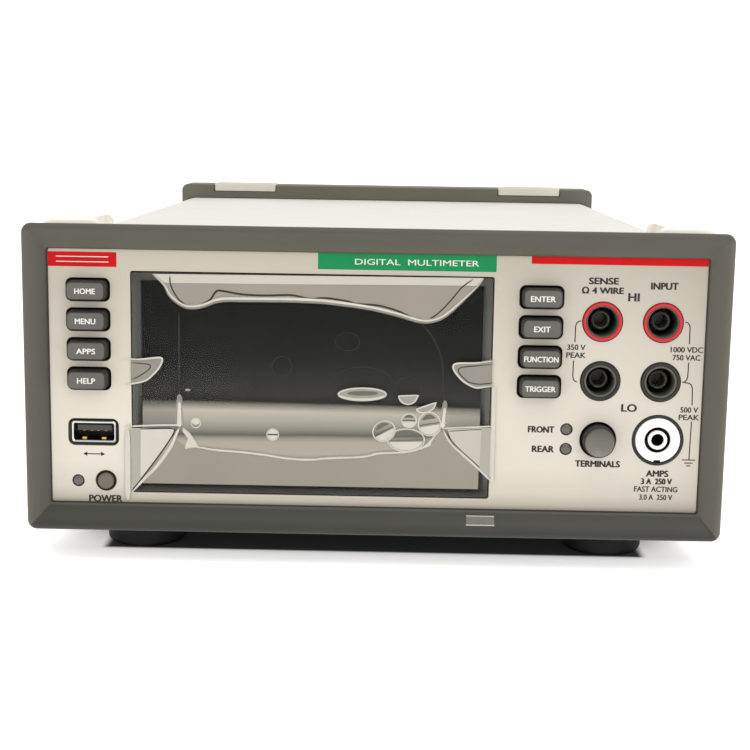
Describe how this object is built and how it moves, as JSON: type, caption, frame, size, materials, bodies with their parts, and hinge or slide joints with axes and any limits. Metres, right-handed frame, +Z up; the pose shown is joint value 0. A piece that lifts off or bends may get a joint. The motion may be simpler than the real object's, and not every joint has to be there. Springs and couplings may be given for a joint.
{
  "type": "bench multimeter",
  "caption": "Half-rack bench digital multimeter with touch display, press keys, shrouded test sockets, fused current socket, end bumpers and a sheet-metal case on rubber feet.",
  "frame": {"origin": "bottom centre of the bounding box, on the plane of the four foot soles", "axes": "+Z up; the front panel faces -Y; +X is to the right of someone reading the display; +Y runs to the rear panel"},
  "size_m": [0.22, 0.366, 0.108],
  "materials": {
    "bumper_rubber": "satin moulded rubber, warm dark grey",
    "cover_paint": "fine textured off-white paint",
    "tray_steel": "plated sheet steel",
    "panel_plastic": "fine textured warm light grey",
    "bezel_plastic": "satin dark grey",
    "display_glass": "dark display glass, lamp off",
    "film": "clear protective film",
    "lcd_black": "black display module",
    "board_green": "solder-masked circuit board",
    "core_steel": "varnished laminations and windings",
    "shield_tin": "tinned steel",
    "key_rubber": "satin moulded key, white legend",
    "jack_black": "black insulator",
    "jack_red": "red insulator",
    "contact_brass": "plated brass sleeve",
    "usb_steel": "bright plated shell",
    "usb_insert": "black insert",
    "led_lens": "smoked lens, lamp off",
    "button_plastic": "grey moulded button",
    "carrier_white": "white moulded fuse carrier",
    "fuse_glass": "glass cartridge fuse",
    "foot_rubber": "black rubber",
    "pad_cream": "cream non-slip pad",
    "rear_black": "black moulded plastic",
    "nickel": "nickel plate"
  },
  "bodies": {
    "chassis": {"amps_housing": "jack_black", "base_tray": "tray_steel", "bnc_complete": "nickel", "bnc_trigger": "nickel", "card_slot_cover": "nickel", "case_cover": "cover_paint", "contact_input_hi": "contact_brass", "contact_input_lo": "contact_brass", "contact_sense_hi": "contact_brass", "contact_sense_lo": "contact_brass", "corner_lug_left": "cover_paint", "corner_lug_right": "cover_paint", "display_bezel": "bezel_plastic", "foot_front_left": "foot_rubber", "foot_front_right": "foot_rubber", "foot_rear_left": "foot_rubber", "foot_rear_right": "foot_rubber", "front_board": "board_green", "front_bumper": "bumper_rubber", "front_panel": "panel_plastic", "ground_screw": "nickel", "interface_slot_cover": "nickel", "jack_input_hi": "jack_red", "jack_input_lo": "jack_black", "jack_sense_hi": "jack_red", "jack_sense_lo": "jack_black", "lan_port": "nickel", "lcd_module": "lcd_black", "led_front": "led_lens", "led_power": "led_lens", "led_rear": "led_lens", "main_board": "board_green", "mains_inlet": "rear_black", "mains_transformer": "core_steel", "rear_bumper": "bumper_rubber", "rear_panel": "cover_paint", "rear_terminal_block": "rear_black", "screen_film": "film", "shield_can": "shield_tin", "stacking_pad_left": "pad_cream", "stacking_pad_right": "pad_cream", "touch_glass": "display_glass", "usb_b_port": "nickel", "usb_insert": "usb_insert", "usb_shell": "usb_steel"},
    "key_home": {"key_home": "key_rubber"},
    "key_menu": {"key_menu": "key_rubber"},
    "key_apps": {"key_apps": "key_rubber"},
    "key_help": {"key_help": "key_rubber"},
    "key_enter": {"key_enter": "key_rubber"},
    "key_exit": {"key_exit": "key_rubber"},
    "key_function": {"key_function": "key_rubber"},
    "key_trigger": {"key_trigger": "key_rubber"},
    "power_button": {"power_button": "button_plastic"},
    "terminals_button": {"terminals_button": "button_plastic", "terminals_push_rod": "button_plastic"},
    "amps_carrier": {"amps_fuse_carrier": "carrier_white", "amps_fuse": "fuse_glass"},
    "mains_fuse_drawer": {"mains_fuse_drawer": "rear_black", "mains_fuse": "fuse_glass"}
  },
  "joints": [
    {"name": "home_press", "type": "slide", "parent": "chassis", "child": "key_home", "axis": [0, 1, 0], "range_m": [0, 0.0008], "stiffness_N_per_m": 300},
    {"name": "menu_press", "type": "slide", "parent": "chassis", "child": "key_menu", "axis": [0, 1, 0], "range_m": [0, 0.0008], "stiffness_N_per_m": 300},
    {"name": "apps_press", "type": "slide", "parent": "chassis", "child": "key_apps", "axis": [0, 1, 0], "range_m": [0, 0.0008], "stiffness_N_per_m": 300},
    {"name": "help_press", "type": "slide", "parent": "chassis", "child": "key_help", "axis": [0, 1, 0], "range_m": [0, 0.0008], "stiffness_N_per_m": 300},
    {"name": "enter_press", "type": "slide", "parent": "chassis", "child": "key_enter", "axis": [0, 1, 0], "range_m": [0, 0.0008], "stiffness_N_per_m": 300},
    {"name": "exit_press", "type": "slide", "parent": "chassis", "child": "key_exit", "axis": [0, 1, 0], "range_m": [0, 0.0008], "stiffness_N_per_m": 300},
    {"name": "function_press", "type": "slide", "parent": "chassis", "child": "key_function", "axis": [0, 1, 0], "range_m": [0, 0.0008], "stiffness_N_per_m": 300},
    {"name": "trigger_press", "type": "slide", "parent": "chassis", "child": "key_trigger", "axis": [0, 1, 0], "range_m": [0, 0.0008], "stiffness_N_per_m": 300},
    {"name": "power_press", "type": "slide", "parent": "chassis", "child": "power_button", "axis": [0, 1, 0], "range_m": [0, 0.001], "stiffness_N_per_m": 300},
    {"name": "terminals_press", "type": "slide", "parent": "chassis", "child": "terminals_button", "axis": [0, 1, 0], "range_m": [0, 0.0032], "stiffness_N_per_m": 250},
    {"name": "amps_carrier_pull", "type": "slide", "parent": "chassis", "child": "amps_carrier", "axis": [0, -1, 0], "range_m": [0, 0.048]},
    {"name": "mains_fuse_drawer_slide", "type": "slide", "parent": "chassis", "child": "mains_fuse_drawer", "axis": [0, 1, 0], "range_m": [0, 0.03]}
  ]
}
